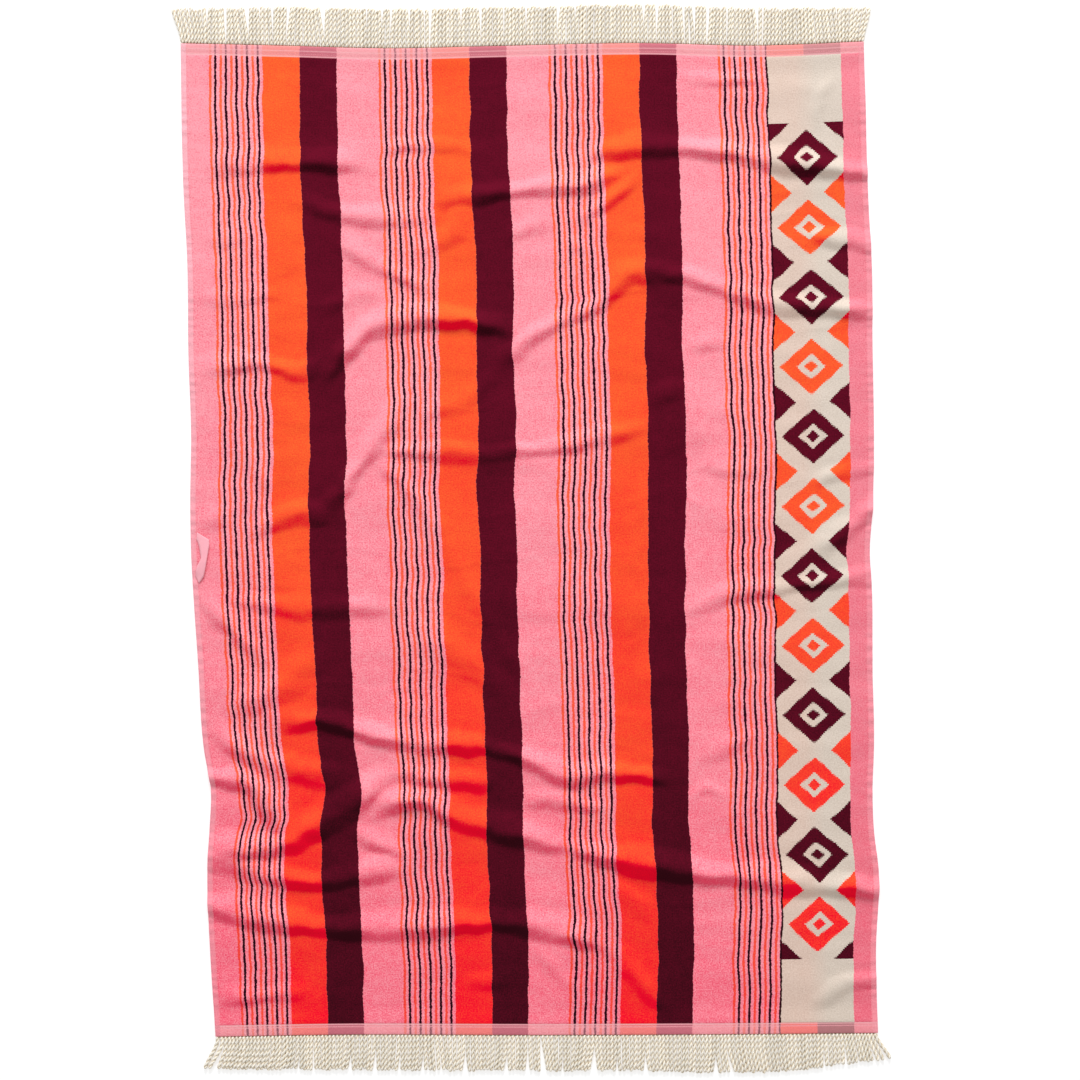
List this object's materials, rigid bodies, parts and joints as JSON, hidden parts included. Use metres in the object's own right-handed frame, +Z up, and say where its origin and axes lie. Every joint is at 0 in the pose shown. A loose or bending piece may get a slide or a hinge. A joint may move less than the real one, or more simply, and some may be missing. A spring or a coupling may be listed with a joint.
{
  "type": "striped bath sheet laid flat, with roped end fringes",
  "caption": "Large velour cotton bath sheet lying flat with soft wrinkles: lengthwise stripes, a patterned side border, roped fringe at both ends and a hanging loop.",
  "frame": {"origin": "middle of the towel's bounding box, on the surface that it lies on", "axes": "+Y along the towel's length, +X across its width towards the patterned border, +Z up from the surface"},
  "size_m": [1.057, 1.5606, 0.015],
  "materials": {
    "velour": "sheared cotton velour, yarn-dyed in pink, orange-red, dark maroon and cream",
    "rope": "twisted natural cotton rope",
    "loop_tape": "flat woven cotton tape"
  },
  "bodies": {
    "root": {"cloth": "velour", "fringe_top": "rope", "fringe_bottom": "rope", "hang_loop": "loop_tape"}
  },
  "joints": []
}
